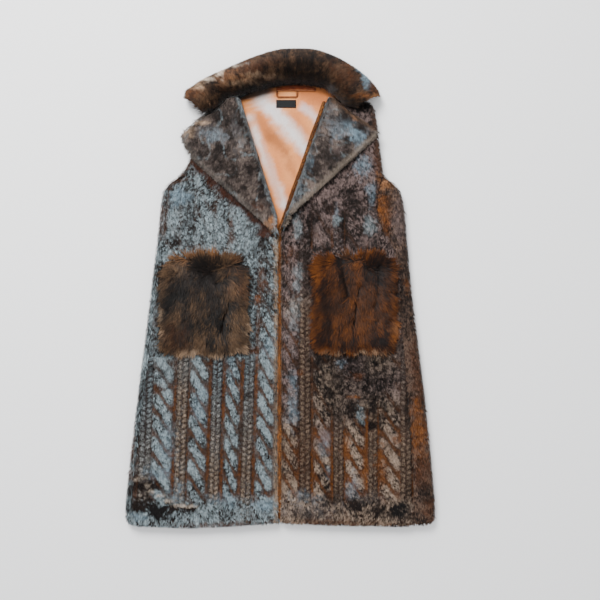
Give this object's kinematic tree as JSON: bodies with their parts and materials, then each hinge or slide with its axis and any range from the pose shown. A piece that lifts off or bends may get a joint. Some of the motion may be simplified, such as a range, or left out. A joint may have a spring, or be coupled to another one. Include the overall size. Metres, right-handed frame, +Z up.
{
  "type": "faux fur vest laid flat",
  "caption": "Long sleeveless faux fur vest laid flat on its back, with a notched collar, turned-back lapels, cable-embossed fronts and long-pile patch pockets.",
  "frame": {"origin": "middle of the box round the vest, on the ground under its back panel", "axes": "+Z up from the ground through the fronts, +Y from the hem to the collar, +X to the right as seen from above"},
  "size_m": [0.5928, 0.9123, 0.0486],
  "materials": {
    "short_pile": "short embossed fur pile, dark brown at the root with frosted blue-grey tips",
    "deep_pile": "plain deep fur pile, dark brown with grey frosting",
    "long_pile": "long shaggy chestnut fur",
    "brushed_lining": "brushed peach and tan lining with pale bands",
    "rust_facing": "rust-brown short pile edge",
    "chestnut_band": "chestnut suede band",
    "tan_tape": "flat woven tape",
    "woven_label": "charcoal woven label, bare"
  },
  "bodies": {
    "root": {"back": "short_pile", "front_left": "short_pile", "front_right": "short_pile", "lining": "brushed_lining", "lapel_left": "deep_pile", "lapel_right": "deep_pile", "collar": "deep_pile", "pocket_left": "long_pile", "pocket_right": "long_pile", "facing_right": "rust_facing", "neck_band": "chestnut_band", "hanger_loop": "tan_tape", "label": "woven_label"}
  },
  "joints": []
}
